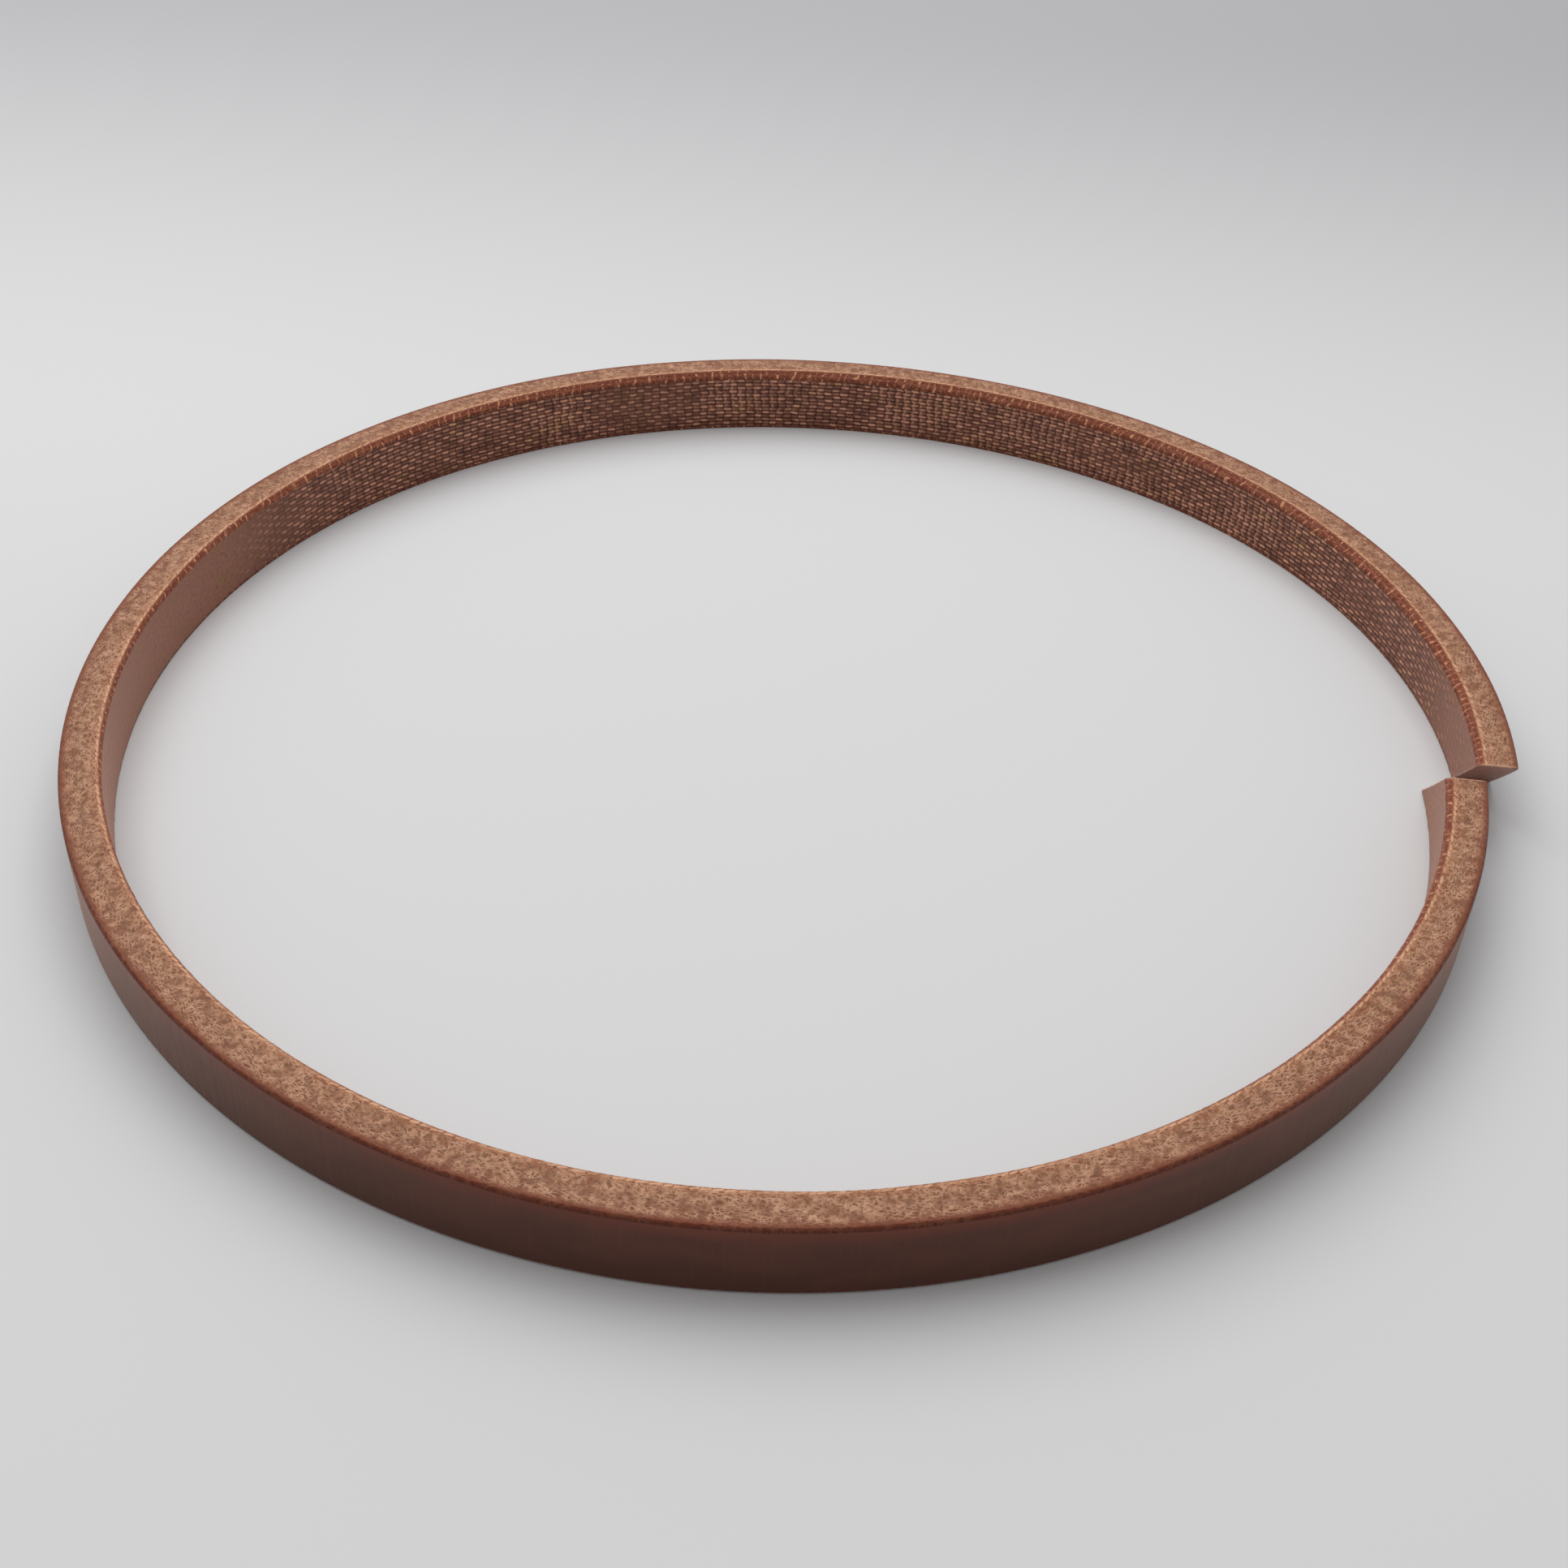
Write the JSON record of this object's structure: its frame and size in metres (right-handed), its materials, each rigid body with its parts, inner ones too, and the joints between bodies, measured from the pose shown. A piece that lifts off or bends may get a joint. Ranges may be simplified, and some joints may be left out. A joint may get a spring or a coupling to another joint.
{
  "type": "split guide ring",
  "caption": "Split guide ring of resin-bonded woven cloth plies, with chamfered edges and one slanted cut, that springs open to fit in a piston groove.",
  "frame": {"origin": "on the ring's axis, at the middle of its width", "axes": "+Z along the ring's axis, +X from the axis to the slanted cut, +Y towards the arm whose end has sprung outward"},
  "size_m": [0.1792, 0.1756, 0.0098],
  "materials": {
    "woven_face": "moulded inner face with the weave of the cloth showing through the resin",
    "laminate_core": "turned side face with cut yarn ends and wavy ply lines",
    "running_face": "fine turned running face, dark brown and slightly glossy"
  },
  "bodies": {
    "heel_front": {"heel_front_inner_face_ply": "woven_face", "heel_front_core_ply_2": "laminate_core", "heel_front_core_ply_3": "laminate_core", "heel_front_core_ply_4": "laminate_core", "heel_front_core_ply_5": "laminate_core", "heel_front_core_ply_6": "laminate_core", "heel_front_core_ply_7": "laminate_core", "heel_front_core_ply_8": "laminate_core", "heel_front_outer_face_ply": "running_face"},
    "flank_front": {"flank_front_inner_face_ply": "woven_face", "flank_front_core_ply_2": "laminate_core", "flank_front_core_ply_3": "laminate_core", "flank_front_core_ply_4": "laminate_core", "flank_front_core_ply_5": "laminate_core", "flank_front_core_ply_6": "laminate_core", "flank_front_core_ply_7": "laminate_core", "flank_front_core_ply_8": "laminate_core", "flank_front_outer_face_ply": "running_face"},
    "tip_front": {"tip_front_inner_face_ply": "woven_face", "tip_front_core_ply_2": "laminate_core", "tip_front_core_ply_3": "laminate_core", "tip_front_core_ply_4": "laminate_core", "tip_front_core_ply_5": "laminate_core", "tip_front_core_ply_6": "laminate_core", "tip_front_core_ply_7": "laminate_core", "tip_front_core_ply_8": "laminate_core", "tip_front_outer_face_ply": "running_face"},
    "heel_back": {"heel_back_inner_face_ply": "woven_face", "heel_back_core_ply_2": "laminate_core", "heel_back_core_ply_3": "laminate_core", "heel_back_core_ply_4": "laminate_core", "heel_back_core_ply_5": "laminate_core", "heel_back_core_ply_6": "laminate_core", "heel_back_core_ply_7": "laminate_core", "heel_back_core_ply_8": "laminate_core", "heel_back_outer_face_ply": "running_face"},
    "flank_back": {"flank_back_inner_face_ply": "woven_face", "flank_back_core_ply_2": "laminate_core", "flank_back_core_ply_3": "laminate_core", "flank_back_core_ply_4": "laminate_core", "flank_back_core_ply_5": "laminate_core", "flank_back_core_ply_6": "laminate_core", "flank_back_core_ply_7": "laminate_core", "flank_back_core_ply_8": "laminate_core", "flank_back_outer_face_ply": "running_face"},
    "tip_back": {"tip_back_inner_face_ply": "woven_face", "tip_back_core_ply_2": "laminate_core", "tip_back_core_ply_3": "laminate_core", "tip_back_core_ply_4": "laminate_core", "tip_back_core_ply_5": "laminate_core", "tip_back_core_ply_6": "laminate_core", "tip_back_core_ply_7": "laminate_core", "tip_back_core_ply_8": "laminate_core", "tip_back_outer_face_ply": "running_face"}
  },
  "joints": [
    {"name": "axial_spread", "type": "hinge", "parent": "heel_front", "child": "heel_back", "pos_m": [-0.085, 0, 0], "axis": [0, -1, 0], "range_deg": [0, 6], "stiffness_Nm_per_rad": 2.6},
    {"name": "back_arm_opening", "type": "hinge", "parent": "heel_back", "child": "flank_back", "pos_m": [-0.06703, 0.05624, 0], "axis": [0, 0, 1], "range_deg": [0, 7], "stiffness_Nm_per_rad": 6},
    {"name": "back_tip_opening", "type": "hinge", "parent": "flank_back", "child": "tip_back", "pos_m": [0.03488, 0.08246, 0], "axis": [0, 0, 1], "range_deg": [0, 2], "stiffness_Nm_per_rad": 6},
    {"name": "front_arm_opening", "type": "hinge", "parent": "heel_front", "child": "flank_front", "pos_m": [-0.06703, -0.05624, 0], "axis": [0, 0, -1], "range_deg": [0, 7], "stiffness_Nm_per_rad": 6},
    {"name": "front_tip_opening", "type": "hinge", "parent": "flank_front", "child": "tip_front", "pos_m": [0.02993, -0.08222, 0], "axis": [0, 0, -1], "range_deg": [0, 2], "stiffness_Nm_per_rad": 6}
  ],
  "couplings": [
    {"joint": "back_tip_opening", "follows": "back_arm_opening", "ratio": 0.277},
    {"joint": "front_tip_opening", "follows": "front_arm_opening", "ratio": 0.277}
  ]
}
